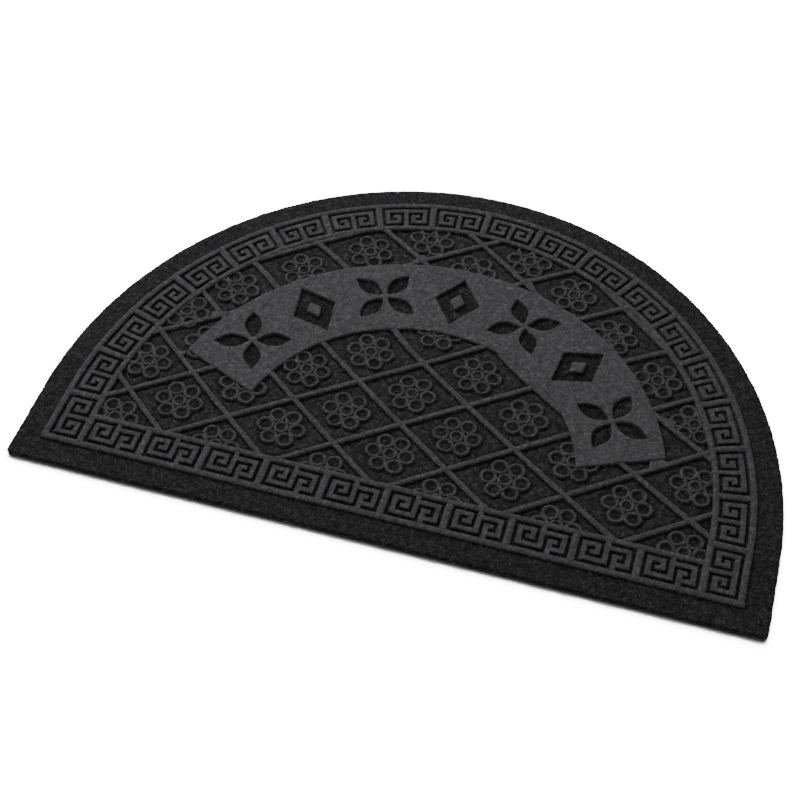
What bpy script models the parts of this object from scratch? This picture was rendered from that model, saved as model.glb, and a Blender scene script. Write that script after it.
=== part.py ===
"""A half-round doormat of pressed needle-punched fibre on a thin rubber backing.

The fibre face is embossed. A low flat border runs round a raised field that has two frame lines
with a Greek key border between them, a lattice of diamond pockets with a six-petalled flower in
each, and a raised arched band with a row of recessed leaf and lozenge ornaments.

Metres, +Z up. The mat lies flat with its straight edge towards -Y. The origin is on the floor,
under the middle of the mat's bounding box. Plan positions are worked out with the straight edge
at y = 0 and moved back by half the depth when a mesh is made.
"""

import math

import bmesh
import bpy
import numpy
from mathutils import Matrix, Vector

MM = 0.001

# Overall plan: a half ellipse on short straight sides.
WIDTH = 600 * MM
DEPTH = 400 * MM
SIDE_HEIGHT = 75 * MM
CORNER_RADIUS = 5 * MM
ARCH_STEPS = 72

# Heights above the floor.
BACKING_TOP = 2.0 * MM
FIBRE_BOTTOM = 2.3 * MM
POCKET_FLOOR = 5.0 * MM
KEY_FLOOR = 5.2 * MM
BORDER_TOP = 5.5 * MM
FLOWER_TOP = 6.8 * MM
RAISED_TOP = 8.0 * MM
CUTTER_TOP = 10.0 * MM
OVERLAP = 1.0 * MM

# Frame lines, by the distance of each line's middle from the mat's edge.
OUTER_LINE = 23.0 * MM
INNER_LINE = 52.5 * MM
LINE_WIDTH = 5.2 * MM
FRAME_CORNER_RADIUS = 3 * MM
STRAIGHT_CELLS = 10
ARCH_CELLS = 20

# Greek key charts: # is a pressed groove and . is raised fibre. The first row of the straight
# chart is the one next to the inner line. The first row of the arch chart is next to the outer.
# The soft fibre closes in on a groove by a share of a chart square on each side.
GROOVE_INSET = 0.19
STRAIGHT_KEY = (
    "######.######",
    "#....#......#",
    "#.##.#.####.#",
    "#.#..#.#..#.#",
    "#.####.#.##.#",
    "#......#....#",
    "########.####",
)
ARCH_KEY = (
    "#############",
    "#...........#",
    "#.####.####.#",
    "#.#..#.#..#.#",
    "#.##.#.#.##.#",
    "#....#.#....#",
    "######.######",
)

# Lattice: ribs cross every half diagonal, in alternate rows, counted from the middle of the mat.
HALF_DIAGONAL_X = 46.0 * MM
HALF_DIAGONAL_Y = 34.2 * MM
LATTICE_BASE = 50.0 * MM
RIB_WIDTH = 4.4 * MM
LATTICE_COLUMNS = 6
LATTICE_ROWS = 10
SMALLEST_POCKET_AREA = 60 * MM * MM

# The pressed lattice isn't even: below the band its middle lies to the left and low, and above
# the band it lies high. A drift is the shift on the mat's centre line. It falls away to nothing at
# its reach on either side, and the low one of y goes on to the other sign.
LOW_DRIFT_X = -9.2 * MM
LOW_DRIFT_Y = -2.8 * MM
LOW_REACH_X = 245 * MM
LOW_REACH_Y = 157 * MM
HIGH_DRIFT_X = 4.0 * MM
HIGH_DRIFT_Y = 12.0 * MM
HIGH_REACH_X = 150 * MM
HIGH_REACH_Y = 200 * MM
DRIFT_CHANGE_START = 190 * MM
DRIFT_CHANGE_RUN = 90 * MM

# Flower: the lobed outline of six round petals, with a notch between each two. A flower with too
# little room inside the inner frame line is drawn in by part of what it lacks. The lowest flowers
# stand above their diamonds' middles by a lift that is gone after its run up the field.
FLOWER_LIFT = 4 * MM
FLOWER_LIFT_RUN = 100 * MM
FLOWER_ROOM = 17 * MM
FLOWER_MOST_SHORT = 30 * MM
FLOWER_DRAW = 0.6
PETALS = 6
NOTCH_RADIUS = 11.0 * MM
SHOULDER_RADIUS = 17.6 * MM
SHOULDER_ANGLE = math.radians(12)

# Arched band: between two arcs about points on the mat's centre line, each with its end's angle.
BAND_OUTER_CENTRE = 92 * MM
BAND_OUTER_RADIUS = 207.5 * MM
BAND_OUTER_END = math.radians(13.7)
BAND_INNER_CENTRE = 83 * MM
BAND_INNER_RADIUS = 137.5 * MM
BAND_INNER_END = math.radians(12.2)
BAND_STEPS = 30

# Ornaments on the band: four-leaf crosses and lozenge rings by turns, pressed into it.
ORNAMENTS = 7
ORNAMENT_FIRST = math.radians(27.5)
LEAF_NEAR = 3 * MM
LEAF_LENGTH = 29 * MM
LEAF_WIDTH = 14 * MM
LEAF_STEPS = 5
LOZENGE_OUTER = (19 * MM, 27 * MM)
LOZENGE_INNER = (7 * MM, 10 * MM)
ORNAMENT_FLOOR = BORDER_TOP - 0.3 * MM


def clear_scene():
    """Remove every object, so the model stands alone."""
    for item in list(bpy.data.objects):
        bpy.data.objects.remove(item, do_unlink=True)


def new_collection(name):
    """A collection linked to the scene."""
    collection = bpy.data.collections.new(name)
    bpy.context.scene.collection.children.link(collection)
    return collection


def finish_material(name, colour, roughness):
    """A plain material for one sub-part."""
    material = bpy.data.materials.new(name)
    material.use_nodes = True
    shader = material.node_tree.nodes["Principled BSDF"]
    shader.inputs["Base Color"].default_value = (*colour, 1.0)
    shader.inputs["Roughness"].default_value = roughness
    shader.inputs["Metallic"].default_value = 0.0
    return material


def polar(radius, angle):
    """A plan point from a radius and an angle."""
    return radius * math.cos(angle), radius * math.sin(angle)


def arch_point(angle, margin):
    """A point on the arch, a margin in from the mat's edge; the angle starts at +X."""
    x = (WIDTH / 2 - margin) * math.cos(angle)
    y = SIDE_HEIGHT + (DEPTH - SIDE_HEIGHT - margin) * math.sin(angle)
    return x, y


def corner(x, y, radius, first_turn):
    """A quarter of a circle about a point, as a short list of points."""
    points = []
    for turn in (0, 30, 60, 90):
        dx, dy = polar(radius, math.radians(first_turn + turn))
        points.append((x + dx, y + dy))
    return points


def half_round(margin, radius):
    """The mat's outline a margin in from its edge on every side, with round lower corners."""
    side = WIDTH / 2 - margin - radius
    foot = margin + radius
    arch = [arch_point(math.pi * step / ARCH_STEPS, margin) for step in range(ARCH_STEPS + 1)]
    return corner(side, foot, radius, -90) + arch + corner(-side, foot, radius, 180)


def band_arc(centre_y, radius, end_angle):
    """One edge of the arched band, from its right end to its left."""
    sweep = math.pi - 2 * end_angle
    turns = [end_angle + sweep * step / BAND_STEPS for step in range(BAND_STEPS + 1)]
    return [(x, y + centre_y) for x, y in (polar(radius, turn) for turn in turns)]


def band_outline():
    """The arched band: its outer arc one way and its inner arc back."""
    outer = band_arc(BAND_OUTER_CENTRE, BAND_OUTER_RADIUS, BAND_OUTER_END)
    inner = band_arc(BAND_INNER_CENTRE, BAND_INNER_RADIUS, BAND_INNER_END)
    return outer + inner[::-1]


def add_object(name, mesh, collection):
    """An object for a mesh, in a collection."""
    item = bpy.data.objects.new(name, mesh)
    collection.objects.link(item)
    return item


def flat_solid(name, loops, bottom, top, collection):
    """A slab between two heights. Its plan is the first loop, and any others are holes in it."""
    curve = bpy.data.curves.new(name, "CURVE")
    curve.dimensions = "2D"
    curve.fill_mode = "BOTH"
    curve.extrude = (top - bottom) / 2
    for loop in loops:
        spline = curve.splines.new("POLY")
        spline.points.add(len(loop) - 1)
        spline.use_cyclic_u = True
        for point, (x, y) in zip(spline.points, loop):
            point.co = (*plan_place(x, y), 0, 1)
    guide = add_object(name + "_outline", curve, collection)
    guide.location.z = (bottom + top) / 2
    bpy.context.view_layer.update()
    mesh = evaluated_mesh(guide)
    mesh.name = name
    mesh.transform(guide.matrix_world)
    bpy.data.objects.remove(guide)
    weld(mesh)
    return add_object(name, mesh, collection)


def weld(mesh):
    """Join the caps of a slab to its walls and merge its flat faces."""
    bm = bmesh.new()
    bm.from_mesh(mesh)
    bmesh.ops.remove_doubles(bm, verts=bm.verts, dist=0.001 * MM)
    bmesh.ops.dissolve_limit(bm, angle_limit=math.radians(0.1), verts=bm.verts, edges=bm.edges)
    bmesh.ops.recalc_face_normals(bm, faces=bm.faces)
    bm.to_mesh(mesh)
    bm.free()


def evaluated_mesh(item):
    """The mesh of an object with its modifiers applied."""
    depsgraph = bpy.context.evaluated_depsgraph_get()
    return bpy.data.meshes.new_from_object(item.evaluated_get(depsgraph))


def plan_place(x, y):
    """A plan position set back to the origin, to the nearest thousandth of a millimetre."""
    return round(x, 6), round(y - DEPTH / 2, 6)


def raise_faces(bm, bottom, top):
    """Stand the flat faces of a bmesh at one height and extrude them to another."""
    for vertex in bm.verts:
        vertex.co = (*plan_place(vertex.co.x, vertex.co.y), bottom)
    grown = bmesh.ops.extrude_face_region(bm, geom=bm.faces[:])["geom"]
    lifted = [part for part in grown if isinstance(part, bmesh.types.BMVert)]
    bmesh.ops.translate(bm, verts=lifted, vec=(0, 0, top - bottom))
    bmesh.ops.recalc_face_normals(bm, faces=bm.faces)


def mesh_from(bm, name):
    """Turn a bmesh into a mesh and free it."""
    mesh = bpy.data.meshes.new(name)
    bm.to_mesh(mesh)
    bm.free()
    return mesh


def chart_squares(bm, chart, place):
    """Lay a chart's grooves in a bmesh; place(u, v) gives the plan of its unit square."""
    rows = len(chart)
    columns = len(chart[0])
    cell = bmesh.new()
    bmesh.ops.create_grid(cell, x_segments=columns, y_segments=rows, size=0.5)
    bmesh.ops.translate(cell, verts=cell.verts, vec=(0.5, 0.5, 0))
    bmesh.ops.scale(cell, verts=cell.verts, vec=(columns, rows, 1))
    land = []
    for face in cell.faces:
        middle = face.calc_center_median()
        if chart[int(rows - middle.y)][int(middle.x)] == ".":
            land.append(face)
    bmesh.ops.delete(cell, geom=land, context="FACES")
    bmesh.ops.dissolve_limit(cell, angle_limit=math.radians(0.1), verts=cell.verts, edges=cell.edges)
    rim = bmesh.ops.inset_region(
        cell, faces=cell.faces[:], thickness=GROOVE_INSET, use_boundary=True, use_even_offset=True
    )["faces"]
    bmesh.ops.delete(cell, geom=rim, context="FACES")
    copies = {}
    for vertex in cell.verts:
        x, y = place(vertex.co.x / columns, vertex.co.y / rows)
        copies[vertex] = bm.verts.new((x, y, 0))
    for face in cell.faces:
        bm.faces.new([copies[vertex] for vertex in face.verts])
    cell.free()


def arch_run():
    """Angles and lengths along the middle of the arch border, from the right side to the left."""
    middle = (OUTER_LINE + INNER_LINE) / 2
    angles = numpy.linspace(0, math.pi, 721)
    points = numpy.array([arch_point(angle, middle) for angle in angles])
    steps = numpy.hypot(*numpy.diff(points, axis=0).T)
    return angles, numpy.concatenate(([0], numpy.cumsum(steps)))


def straight_keys(bm, near, far):
    """The key cells along the straight side, between the inner lines of the two sides."""
    half_run = WIDTH / 2 - INNER_LINE
    pitch = 2 * half_run / STRAIGHT_CELLS
    for number in range(STRAIGHT_CELLS):
        left = number * pitch - half_run + LINE_WIDTH / 2
        width = pitch - LINE_WIDTH
        chart_squares(
            bm, STRAIGHT_KEY, lambda u, v: (left + u * width, near + v * (far - near))
        )


def arch_keys(bm, near, far):
    """The key cells up one side, over the arch and down the other, to the lower corners."""
    angles, lengths = arch_run()
    side = SIDE_HEIGHT - OUTER_LINE
    pitch = (lengths[-1] + 2 * side) / ARCH_CELLS

    def place(start, u, v):
        travel = start + u * (pitch - LINE_WIDTH)
        angle = float(numpy.interp(travel, lengths, angles))
        x, y = arch_point(angle, far + v * (near - far))
        below_arch = max(-travel, travel - lengths[-1], 0)
        return x, y - below_arch

    for number in range(ARCH_CELLS):
        start = number * pitch + LINE_WIDTH / 2 - side
        chart_squares(bm, ARCH_KEY, lambda u, v: place(start, u, v))


def key_cutter(collection):
    """The pressed grooves of the Greek key border."""
    near = OUTER_LINE + LINE_WIDTH / 2
    far = INNER_LINE - LINE_WIDTH / 2
    bm = bmesh.new()
    straight_keys(bm, near, far)
    arch_keys(bm, near, far)
    raise_faces(bm, KEY_FLOOR, CUTTER_TOP)
    return add_object("key_grooves", mesh_from(bm, "key_grooves"), collection)


def soft_step(value):
    """A smooth rise from 0 to 1 as the value goes from 0 to 1."""
    value = min(max(value, 0), 1)
    return value * value * (3 - 2 * value)


def bulge(x, reach):
    """A share of 1 on the mat's centre line that falls away to 0 at a reach on either side."""
    return 1 - (x / reach) ** 2


def drift(x, y):
    """Where a point of an even lattice lies on the pressed mat."""
    change = soft_step((y - DRIFT_CHANGE_START) / DRIFT_CHANGE_RUN)
    low_x = LOW_DRIFT_X * max(bulge(x, LOW_REACH_X), 0)
    low_y = LOW_DRIFT_Y * bulge(x, LOW_REACH_Y)
    high_x = HIGH_DRIFT_X * max(bulge(x, HIGH_REACH_X), 0)
    high_y = HIGH_DRIFT_Y * max(bulge(x, HIGH_REACH_Y), 0)
    return x + low_x + (high_x - low_x) * change, y + low_y + (high_y - low_y) * change


def depth_in_field(x, y):
    """How far a plan point lies inside the inner frame line, roughly; negative is outside."""
    half_width = WIDTH / 2 - INNER_LINE
    if y < SIDE_HEIGHT:
        return min(y - INNER_LINE, half_width - abs(x))
    along = (y - SIDE_HEIGHT) / (DEPTH - SIDE_HEIGHT - INNER_LINE)
    return (1 - math.hypot(x / half_width, along)) * half_width


def flower_place(x, y):
    """The middle of the flower in a diamond, drawn in where it has too little room."""
    x, y = drift(x, y)
    y += FLOWER_LIFT * (1 - soft_step((y - LATTICE_BASE) / FLOWER_LIFT_RUN))
    short = FLOWER_ROOM - depth_in_field(x, y)
    if y < SIDE_HEIGHT or not 0 < short < FLOWER_MOST_SHORT:
        return x, y
    draw = FLOWER_DRAW * short / math.hypot(x, y - SIDE_HEIGHT)
    return x * (1 - draw), SIDE_HEIGHT + (y - SIDE_HEIGHT) * (1 - draw)


def lattice_centres():
    """The middle of every diamond of an even lattice that can reach the field."""
    for row in range(LATTICE_ROWS):
        for column in range(-LATTICE_COLUMNS, LATTICE_COLUMNS + 1):
            if (row + column) % 2 == 1:
                yield column * HALF_DIAGONAL_X, LATTICE_BASE + row * HALF_DIAGONAL_Y


def diamond_cutter(collection):
    """A prism for the hollow of every diamond, with half a rib's width taken off each side."""
    to_side = HALF_DIAGONAL_X * HALF_DIAGONAL_Y / math.hypot(HALF_DIAGONAL_X, HALF_DIAGONAL_Y)
    shrink = 1 - RIB_WIDTH / 2 / to_side
    bm = bmesh.new()
    for x, y in lattice_centres():
        placed = Matrix.Translation((x, y, 0))
        stretched = Matrix.Diagonal((HALF_DIAGONAL_X, HALF_DIAGONAL_Y, 1, 1))
        tips = bmesh.ops.create_circle(
            bm, cap_ends=True, segments=4, radius=1, matrix=placed @ stretched
        )["verts"]
        for tip in tips:
            tip.co.xy = drift(tip.co.x, tip.co.y)
        to_middle = Matrix.Translation(-sum((tip.co for tip in tips), Vector()) / len(tips))
        bmesh.ops.scale(bm, verts=tips, vec=(shrink, shrink, 1), space=to_middle)
    raise_faces(bm, POCKET_FLOOR, CUTTER_TOP)
    return add_object("diamonds", mesh_from(bm, "diamonds"), collection)


def flower_solid(collection):
    """The low flowers that stand in the pockets, as one lobed prism each."""
    bm = bmesh.new()
    step = 2 * math.pi / PETALS
    for x, y in (flower_place(*centre) for centre in lattice_centres()):
        ring = []
        for petal in range(PETALS):
            middle = petal * step
            ring.append(polar(SHOULDER_RADIUS, middle - SHOULDER_ANGLE))
            ring.append(polar(SHOULDER_RADIUS, middle + SHOULDER_ANGLE))
            ring.append(polar(NOTCH_RADIUS, middle + step / 2))
        bm.faces.new([bm.verts.new((x + dx, y + dy, 0)) for dx, dy in ring])
    raise_faces(bm, POCKET_FLOOR - OVERLAP, FLOWER_TOP)
    return add_object("flowers", mesh_from(bm, "flowers"), collection)


def leaf_outline(turn):
    """A leaf with a point at each end, set out from the middle of its cross."""
    points = []
    for side in (1, -1):
        for step in range(LEAF_STEPS):
            along = step / LEAF_STEPS if side > 0 else 1 - step / LEAF_STEPS
            across = side * LEAF_WIDTH / 2 * math.sin(math.pi * along)
            radius = LEAF_NEAR + LEAF_LENGTH * along
            x = radius * math.cos(turn) - across * math.sin(turn)
            y = radius * math.sin(turn) + across * math.cos(turn)
            points.append((x, y))
    return points


def ornament_loops(number):
    """The loops of one ornament about its own middle: a leaf cross or a lozenge ring."""
    if number % 2 == 0:
        return [leaf_outline(math.radians(45 + 90 * leaf)) for leaf in range(4)]
    return [
        [(width, 0), (0, height), (-width, 0), (0, -height)]
        for width, height in (LOZENGE_OUTER, LOZENGE_INNER)
    ]


def ornament_cutter(collection):
    """The ornaments pressed into the arched band, each turned to stand square on it."""
    radius = (BAND_OUTER_RADIUS + BAND_INNER_RADIUS) / 2
    centre_y = (BAND_OUTER_CENTRE + BAND_INNER_CENTRE) / 2
    sweep = math.pi - 2 * ORNAMENT_FIRST
    loops = []
    for number in range(ORNAMENTS):
        angle = math.pi - ORNAMENT_FIRST - sweep * number / (ORNAMENTS - 1)
        middle_x, middle_y = polar(radius, angle)
        turn = angle - math.pi / 2
        for loop in ornament_loops(number):
            placed = []
            for x, y in loop:
                turned_x = x * math.cos(turn) - y * math.sin(turn)
                turned_y = x * math.sin(turn) + y * math.cos(turn)
                placed.append((middle_x + turned_x, centre_y + middle_y + turned_y))
            loops.append(placed)
    return flat_solid("ornaments", loops, ORNAMENT_FLOOR, CUTTER_TOP, collection)


def combine(item, tool, operation):
    """Join a tool to an object, cut it away, or keep what they share."""
    modifier = item.modifiers.new(tool.name, "BOOLEAN")
    modifier.operation = operation
    modifier.solver = "EXACT"
    modifier.object = tool


def drop_scraps(mesh):
    """Delete the pockets that the frame and the band leave too small to press."""
    smallest = SMALLEST_POCKET_AREA * (CUTTER_TOP - POCKET_FLOOR)
    bm = bmesh.new()
    bm.from_mesh(mesh)
    waiting = set(bm.verts)
    scraps = []
    while waiting:
        island = {waiting.pop()}
        edge_of_search = list(island)
        while edge_of_search:
            vertex = edge_of_search.pop()
            for edge in vertex.link_edges:
                other = edge.other_vert(vertex)
                if other in waiting:
                    waiting.discard(other)
                    island.add(other)
                    edge_of_search.append(other)
        if island_volume(island) < smallest:
            scraps += island
    bmesh.ops.delete(bm, geom=scraps, context="VERTS")
    bm.to_mesh(mesh)
    bm.free()


def island_volume(island):
    """The volume inside a closed island of vertices."""
    faces = {face for vertex in island for face in vertex.link_faces}
    volume = 0.0
    for face in faces:
        volume += face.calc_center_median().dot(face.normal) * face.calc_area() / 3
    return abs(volume)


def pocket_cutter(collection):
    """The pressed pockets: diamonds kept to the field round the band, less their flowers."""
    field = half_round(INNER_LINE + LINE_WIDTH / 2, FRAME_CORNER_RADIUS)
    area = flat_solid("field", [field, band_outline()], 0, CUTTER_TOP + OVERLAP, collection)
    pockets = diamond_cutter(collection)
    combine(pockets, area, "INTERSECT")
    bpy.context.view_layer.update()
    clipped = evaluated_mesh(pockets)
    drop_scraps(clipped)
    pockets.modifiers.clear()
    pockets.data = clipped
    pockets.name = "pockets"
    combine(pockets, flower_solid(collection), "DIFFERENCE")
    return pockets


def fibre_mat(collection, cutters):
    """The fibre layer: a low border and a raised field with everything pressed into it."""
    mat = flat_solid(
        "fibre_mat", [half_round(0, CORNER_RADIUS)], FIBRE_BOTTOM, BORDER_TOP, collection
    )
    raised = half_round(OUTER_LINE - LINE_WIDTH / 2, FRAME_CORNER_RADIUS)
    plate = flat_solid("field_plate", [raised], POCKET_FLOOR - OVERLAP, RAISED_TOP, cutters)
    combine(mat, plate, "UNION")
    for cutter in (pocket_cutter(cutters), key_cutter(cutters), ornament_cutter(cutters)):
        combine(mat, cutter, "DIFFERENCE")
    mat.data.materials.append(finish_material("pressed_fibre", (0.035, 0.035, 0.037), 0.95))
    return mat


def rubber_backing(collection):
    """The thin rubber sheet under the fibre, which shows as a line along the mat's edge."""
    outline = half_round(0, CORNER_RADIUS)
    backing = flat_solid("rubber_backing", [outline], 0, BACKING_TOP, collection)
    backing.data.materials.append(finish_material("backing_rubber", (0.02, 0.02, 0.021), 0.7))
    return backing


def hide_cutters(cutters):
    """Keep the cutting shapes out of the finished model."""
    for item in cutters.objects:
        item.hide_render = True
        item.display_type = "WIRE"


def main():
    """Build the mat."""
    clear_scene()
    mat = new_collection("half_round_doormat")
    cutters = new_collection("cutters")
    rubber_backing(mat)
    fibre_mat(mat, cutters)
    hide_cutters(cutters)


main()
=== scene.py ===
"""The finish of a half-round doormat of pressed needle-punched fibre on a rubber backing.

The fibre's relief is modelled finely here: a rough low border, frame lines, Greek key lands,
lattice ribs, ringed flowers, the arched band with its pressed ornaments, and loose fibres.
Metres, in the frame's own axes. Plan positions are worked out from the middle of the straight
edge, with y = 0 on that edge, and are moved to the frame when a mesh is laid.
"""

import math

import bmesh
import bpy
from mathutils import Matrix, Vector, noise


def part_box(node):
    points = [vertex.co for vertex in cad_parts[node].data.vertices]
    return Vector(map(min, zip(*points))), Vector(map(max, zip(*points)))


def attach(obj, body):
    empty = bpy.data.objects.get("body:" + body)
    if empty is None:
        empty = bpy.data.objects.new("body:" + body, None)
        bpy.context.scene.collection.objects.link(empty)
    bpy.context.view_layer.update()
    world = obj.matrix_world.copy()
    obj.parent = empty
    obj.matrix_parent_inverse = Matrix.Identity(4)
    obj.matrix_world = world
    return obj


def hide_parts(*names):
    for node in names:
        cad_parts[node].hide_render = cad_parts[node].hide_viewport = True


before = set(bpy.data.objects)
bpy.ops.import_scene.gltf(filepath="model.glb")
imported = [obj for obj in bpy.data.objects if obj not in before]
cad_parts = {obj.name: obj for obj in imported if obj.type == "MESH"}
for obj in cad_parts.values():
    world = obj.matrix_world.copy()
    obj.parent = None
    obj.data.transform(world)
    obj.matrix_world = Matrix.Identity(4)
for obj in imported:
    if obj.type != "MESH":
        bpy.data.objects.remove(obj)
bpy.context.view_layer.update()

MM = 0.001

# The mat's own box, from the frame.
LOW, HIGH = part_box("fibre_mat")
RUBBER_LOW, RUBBER_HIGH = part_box("rubber_backing")
HALF_WIDTH = (HIGH.x - LOW.x) / 2
DEPTH = HIGH.y - LOW.y
MIDDLE_X = (HIGH.x + LOW.x) / 2
EDGE_Y = LOW.y
FIBRE_BOTTOM = LOW.z
RAISED_TOP = HIGH.z

# Plan of the mat.
SIDE_HEIGHT = 75 * MM
CORNER_RADIUS = 5 * MM
OUTER_LINE = 23.0 * MM
INNER_LINE = 52.5 * MM
LINE_WIDTH = 5.2 * MM
STRAIGHT_CELLS = 10
ARCH_CELLS = 20
HALF_DIAGONAL_X = 46.0 * MM
HALF_DIAGONAL_Y = 34.2 * MM
LATTICE_BASE = 50.0 * MM
RIB_WIDTH = 4.4 * MM

# The pressed lattice isn't even: below the band its middle lies to the left and low, and above
# the band it lies high. A drift is the shift on the mat's centre line. It falls away to nothing at
# its reach on either side, and the low one of y goes on to the other sign.
LOW_DRIFT_X = -9.2 * MM
LOW_DRIFT_Y = -2.8 * MM
LOW_REACH_X = 245 * MM
LOW_REACH_Y = 157 * MM
HIGH_DRIFT_X = 4.0 * MM
HIGH_DRIFT_Y = 12.0 * MM
HIGH_REACH_X = 150 * MM
HIGH_REACH_Y = 200 * MM
DRIFT_CHANGE_START = 190 * MM
DRIFT_CHANGE_RUN = 90 * MM

# Arched band: between two arcs about points on the mat's centre line, each with its end's angle.
BAND_OUTER_CENTRE = 92 * MM
BAND_OUTER_RADIUS = 207.5 * MM
BAND_OUTER_END = math.radians(13.7)
BAND_INNER_CENTRE = 83 * MM
BAND_INNER_RADIUS = 137.5 * MM
BAND_INNER_END = math.radians(12.2)

# Heights above the floor.
POCKET_FLOOR = 5.0 * MM
KEY_FLOOR = 5.35 * MM
BORDER_TOP = 5.5 * MM
FLOWER_TOP = 6.9 * MM
FOOT = 4.6 * MM

# A pocket's floor swells a little way from what stands round it, and dips again in the middle.
POCKET_SWELL = 0.7 * MM
SWELL_START = 0.8 * MM
SWELL_RUN = 2.8 * MM
SWELL_LEVEL = 0.3
DIP_START = 3.2 * MM
DIP_RUN = 4 * MM
DIP_SHARE = 0.35

# How the fibre's parts are toned: 1 is the top of a raised part, 0 is the floor, and less is darker.
# Tones below 0 are painted shade: on the cut side, in the ornaments' recesses and in the flowers'
# bowls.
BORDER_TONE = 0.06
KEY_FLOOR_TONE = 0.09
# Painted shade on the mat's cut side and underneath.
SHADED_SIDE_TONE = -1.0
SWELL_TONE = 0.17
# The ornaments' pressed floors, toned below the pockets' floor: painted shade in the recesses, over
# the pressed fibre's own dark.
PRESSED_AND_SHADED_TONE = -0.28
# The near black that painted shade is mixed toward.
PAINTED_SHADE_FIBRE = (0.0034, 0.0034, 0.0037)
DEEP_FIBRE = (0.0125, 0.0123, 0.0133)
RAISED_FIBRE = (0.0470, 0.0466, 0.0491)
PALE_FIBRE = (0.150, 0.149, 0.155)

# Greek key charts: . is raised fibre. Rows run from the inner line to the outer on the straight
# side, and from the outer line to the inner on the arch. The soft fibre closes in on a groove by a
# share of a chart square on each side.
GROOVE_INSET = 0.19
GROOVE_CLOSING = GROOVE_INSET * 3.4 * MM
STRAIGHT_KEY = (
    "######.######",
    "#....#......#",
    "#.##.#.####.#",
    "#.#..#.#..#.#",
    "#.####.#.##.#",
    "#......#....#",
    "########.####",
)
ARCH_KEY = (
    "#############",
    "#...........#",
    "#.####.####.#",
    "#.#..#.#..#.#",
    "#.##.#.#.##.#",
    "#....#.#....#",
    "######.######",
)

# Profile of everything raised, from its foot up: how far each ring is set in, for a softness of
# 1, and its share of the height.
RAISED_PROFILE = (
    (0.0, 0.3),
    (0.2 * MM, 0.66),
    (0.35 * MM, 0.89),
    (0.5 * MM, 1.0),
)

# Flowers: six petal rings about a smaller one. A flower with too little room inside the inner
# frame line is drawn in by part of what it lacks. The lowest flowers stand above their diamonds'
# middles by a lift that is gone after its run up the field.
FLOWER_LIFT = 4 * MM
FLOWER_LIFT_RUN = 100 * MM
FLOWER_ROOM = 17 * MM
FLOWER_MOST_SHORT = 30 * MM
FLOWER_DRAW = 0.6
PETALS = 6
PETAL_DISTANCE = 13.2 * MM
PETAL_RADIUS = 5.9 * MM
HEART_RADIUS = 4.9 * MM
RIM_RADIUS = 2.0 * MM

# The seed of the fibre's unevenness, which is otherwise drawn anew in each run.
UNEVENNESS_SEED = 7

# Where loose fibres lie: how far in the cut edge reaches, and how much a face must look up.
CUT_EDGE = 1.3 * MM
LOOKS_UP = 0.3

# Ornaments pressed into the arched band.
ORNAMENTS = 7
ORNAMENT_FIRST = math.radians(27.5)
LEAF_NEAR = 3 * MM
LEAF_LENGTH = 29 * MM
LEAF_WIDTH = 14 * MM
LOZENGE_OUTER = (19 * MM, 27 * MM)
LOZENGE_INNER = (7 * MM, 10 * MM)
PRESS_SLOPE = 1.0 * MM
FAR_OUTSIDE = -2 * MM


def plan_to_frame(x, y, z):
    """A plan position in the frame's axes."""
    return Vector((MIDDLE_X + x, EDGE_Y + y, z))


def polar(radius, angle):
    """A plan point from a radius and an angle."""
    return radius * math.cos(angle), radius * math.sin(angle)


def arch_point(angle, margin):
    """A point on the arch, a margin in from the mat's edge."""
    x = (HALF_WIDTH - margin) * math.cos(angle)
    y = SIDE_HEIGHT + (DEPTH - SIDE_HEIGHT - margin) * math.sin(angle)
    return x, y


def mat_point(u, v, margin):
    """A point of the half-round plan: u from -1 to 1 across and v from 0 to 1 up from the edge."""
    turn = u * math.pi / 2
    x = (HALF_WIDTH - margin) * math.sin(turn)
    top = SIDE_HEIGHT + (DEPTH - SIDE_HEIGHT - margin) * math.cos(turn)
    y = margin + v * (top - margin)
    return round_corner(x, y, margin)


def round_corner(x, y, margin):
    """Draw a point that lies in a lower corner back inside the corner's arc."""
    radius = max(CORNER_RADIUS - margin, 1.5 * MM)
    centre_x = HALF_WIDTH - margin - radius
    centre_y = margin + radius
    across = abs(x) - centre_x
    down = centre_y - y
    if across <= 0 or down <= 0:
        return x, y
    reach = math.hypot(across, down)
    square = max(across, down)
    shrink = square / reach
    return math.copysign(centre_x + across * shrink, x), centre_y - down * shrink


def arch_run():
    """Stations along the middle of the arch border: each a travelled length and its angle."""
    middle = (OUTER_LINE + INNER_LINE) / 2
    steps = 720
    travelled = 0.0
    run = [(0.0, 0.0)]
    last = arch_point(0, middle)
    for step in range(1, steps + 1):
        angle = math.pi * step / steps
        here = arch_point(angle, middle)
        travelled += math.dist(last, here)
        run.append((travelled, angle))
        last = here
    return run


ARCH_RUN = arch_run()
ARCH_LENGTH = ARCH_RUN[-1][0]
ARCH_SIDE = SIDE_HEIGHT - OUTER_LINE
ARCH_PITCH = (ARCH_LENGTH + 2 * ARCH_SIDE) / ARCH_CELLS
STRAIGHT_PITCH = 2 * (HALF_WIDTH - INNER_LINE) / STRAIGHT_CELLS


def arch_border_point(travel, margin):
    """A point of the arch border from the length travelled and a margin; below 0 is the side."""
    inside = min(max(travel, 0), ARCH_LENGTH)
    place = inside / ARCH_LENGTH * (len(ARCH_RUN) - 1)
    index = min(int(place), len(ARCH_RUN) - 2)
    while index > 0 and ARCH_RUN[index][0] > inside:
        index -= 1
    while index < len(ARCH_RUN) - 2 and ARCH_RUN[index + 1][0] < inside:
        index += 1
    start, angle = ARCH_RUN[index]
    end, next_angle = ARCH_RUN[index + 1]
    share = (inside - start) / (end - start)
    x, y = arch_point(angle + (next_angle - angle) * share, margin)
    below = max(-travel, travel - ARCH_LENGTH, 0)
    return x, y - below


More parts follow.
